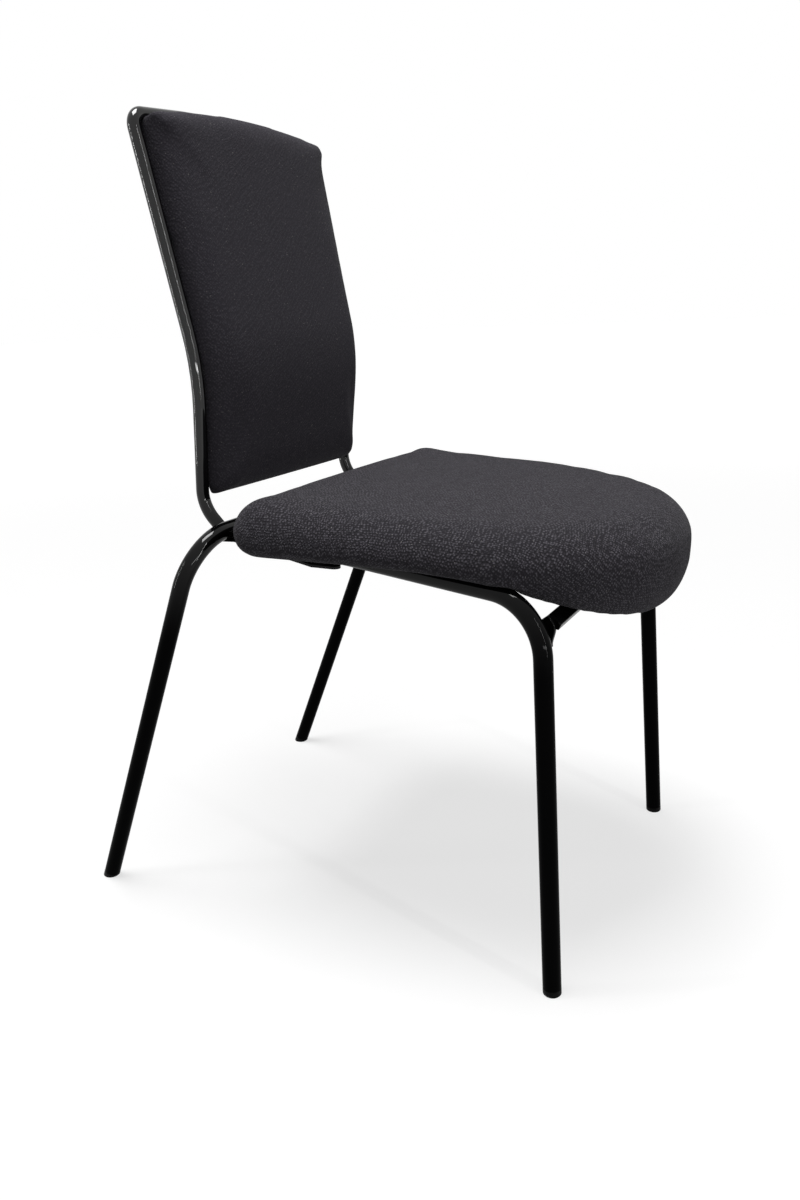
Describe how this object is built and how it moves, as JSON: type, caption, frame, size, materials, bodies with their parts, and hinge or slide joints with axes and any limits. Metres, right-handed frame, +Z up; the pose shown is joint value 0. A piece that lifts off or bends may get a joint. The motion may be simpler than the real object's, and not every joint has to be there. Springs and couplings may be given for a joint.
{
  "type": "choir chair",
  "caption": "Upholstered choir chair with a D-shaped seat and a tall reclined back on a bent black steel tube frame with splayed legs.",
  "frame": {"origin": "on the floor, at the middle of the bounding box's base", "axes": "+Z up, -Y is the way the sitter faces, +X is the sitter's left"},
  "size_m": [0.4888, 0.6912, 0.9269],
  "materials": {
    "frame_paint": "gloss black stoved paint",
    "glide_plastic": "plain moulded",
    "upholstery_cloth": "charcoal crepe weave",
    "dust_cloth": "thin black felt",
    "foam": "cut foam, hidden",
    "plywood": "moulded plywood, hidden",
    "zinc_steel": "zinc plated"
  },
  "bodies": {
    "root": {"rear_frame": "frame_paint", "front_frame_right": "frame_paint", "front_frame_left": "frame_paint", "back_frame": "frame_paint", "front_crossbar": "frame_paint", "crossbar_gusset_right": "frame_paint", "crossbar_gusset_left": "frame_paint", "seat_strap_right": "frame_paint", "seat_strap_left": "frame_paint", "back_lower_right_tab": "frame_paint", "back_lower_left_tab": "frame_paint", "back_upper_right_tab": "frame_paint", "back_upper_left_tab": "frame_paint", "front_glide_right": "glide_plastic", "front_glide_left": "glide_plastic", "rear_glide_right": "glide_plastic", "rear_glide_left": "glide_plastic", "seat_cover": "upholstery_cloth", "back_cover": "upholstery_cloth", "back_rear_cover": "upholstery_cloth", "seat_dust_cover": "dust_cloth", "seat_foam": "foam", "back_foam": "foam", "seat_board": "plywood", "back_board": "plywood", "seat_front_right_screw": "zinc_steel", "seat_front_right_t_nut": "zinc_steel", "seat_front_left_screw": "zinc_steel", "seat_front_left_t_nut": "zinc_steel", "seat_rear_right_screw": "zinc_steel", "seat_rear_right_t_nut": "zinc_steel", "seat_rear_left_screw": "zinc_steel", "seat_rear_left_t_nut": "zinc_steel", "back_lower_right_screw": "zinc_steel", "back_lower_right_t_nut": "zinc_steel", "back_lower_left_screw": "zinc_steel", "back_lower_left_t_nut": "zinc_steel", "back_upper_right_screw": "zinc_steel", "back_upper_right_t_nut": "zinc_steel", "back_upper_left_screw": "zinc_steel", "back_upper_left_t_nut": "zinc_steel"}
  },
  "joints": []
}
